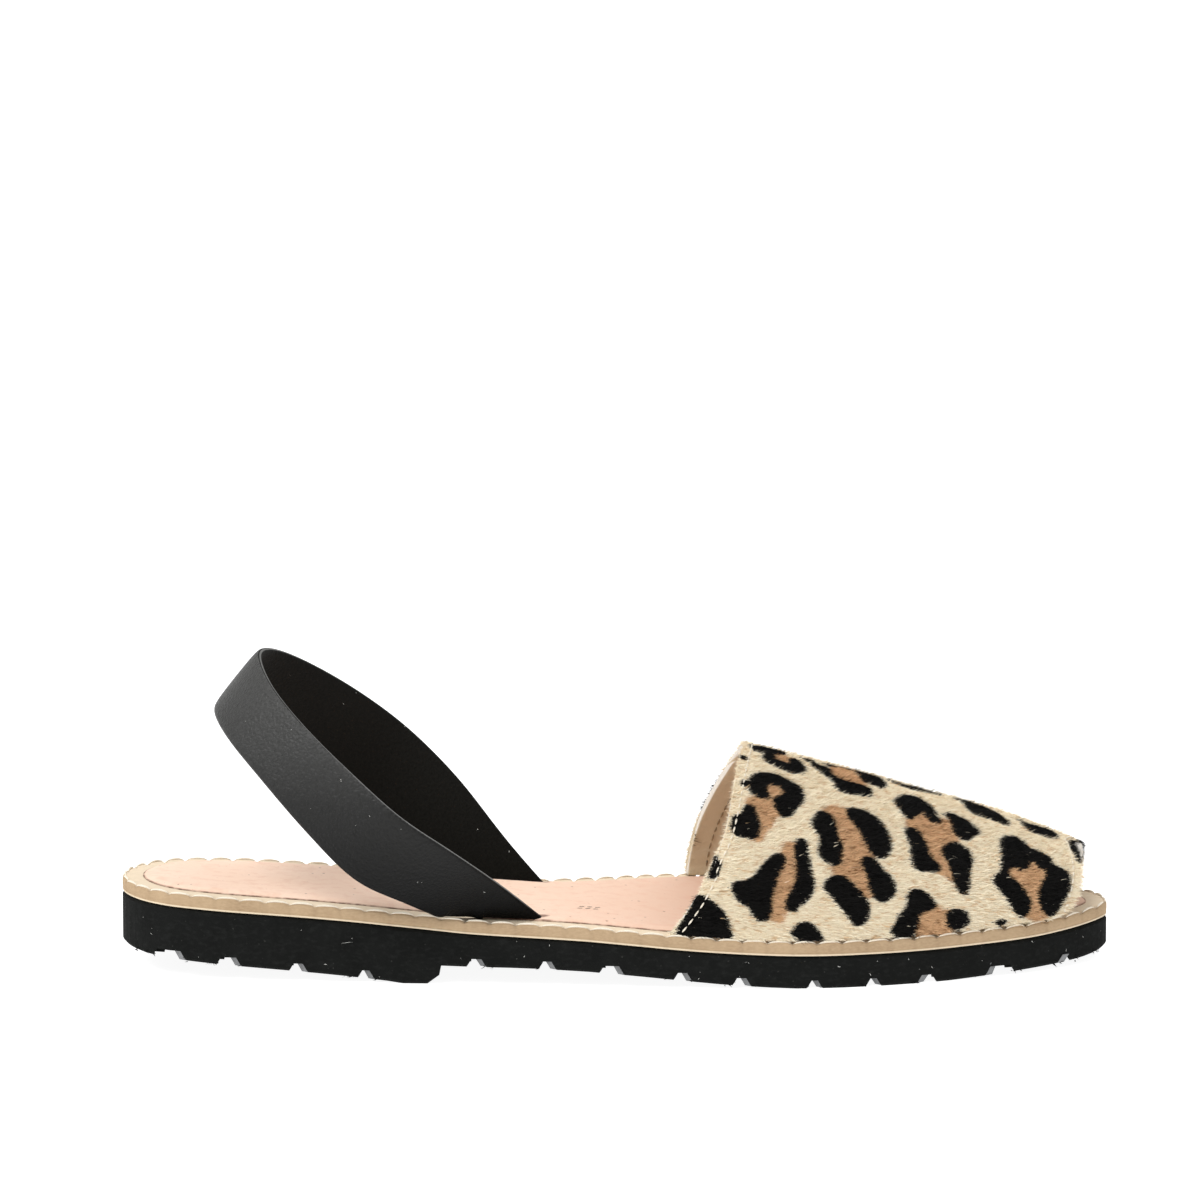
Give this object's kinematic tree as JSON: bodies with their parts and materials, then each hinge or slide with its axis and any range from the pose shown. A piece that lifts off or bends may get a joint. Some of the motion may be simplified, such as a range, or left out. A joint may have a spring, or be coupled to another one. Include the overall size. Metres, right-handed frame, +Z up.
{
  "type": "flat sandal",
  "caption": "Right flat sling-back sandal: hollow peep toe vamp and heel strap on a leather midsole and a lugged rubber sole with a low heel.",
  "frame": {"origin": "on the floor, under the middle of the sandal's box", "axes": "+X from heel to toe, +Y towards the inner side of the foot, +Z up"},
  "size_m": [0.2618, 0.0998, 0.0831],
  "materials": {
    "sole_rubber": "matt black microcell rubber",
    "midsole_leather": "natural tan, cut edge",
    "insole_leather": "undyed pink beige, matt",
    "vamp_hide": "short hair with a leopard print",
    "vamp_lining": "taupe, matt",
    "strap_leather": "black, fine grain, satin",
    "thread": "off-white waxed thread"
  },
  "bodies": {
    "root": {"outsole": "sole_rubber", "midsole": "midsole_leather", "insole": "insole_leather", "upper": "vamp_hide", "heel_strap": "strap_leather"}
  },
  "joints": []
}
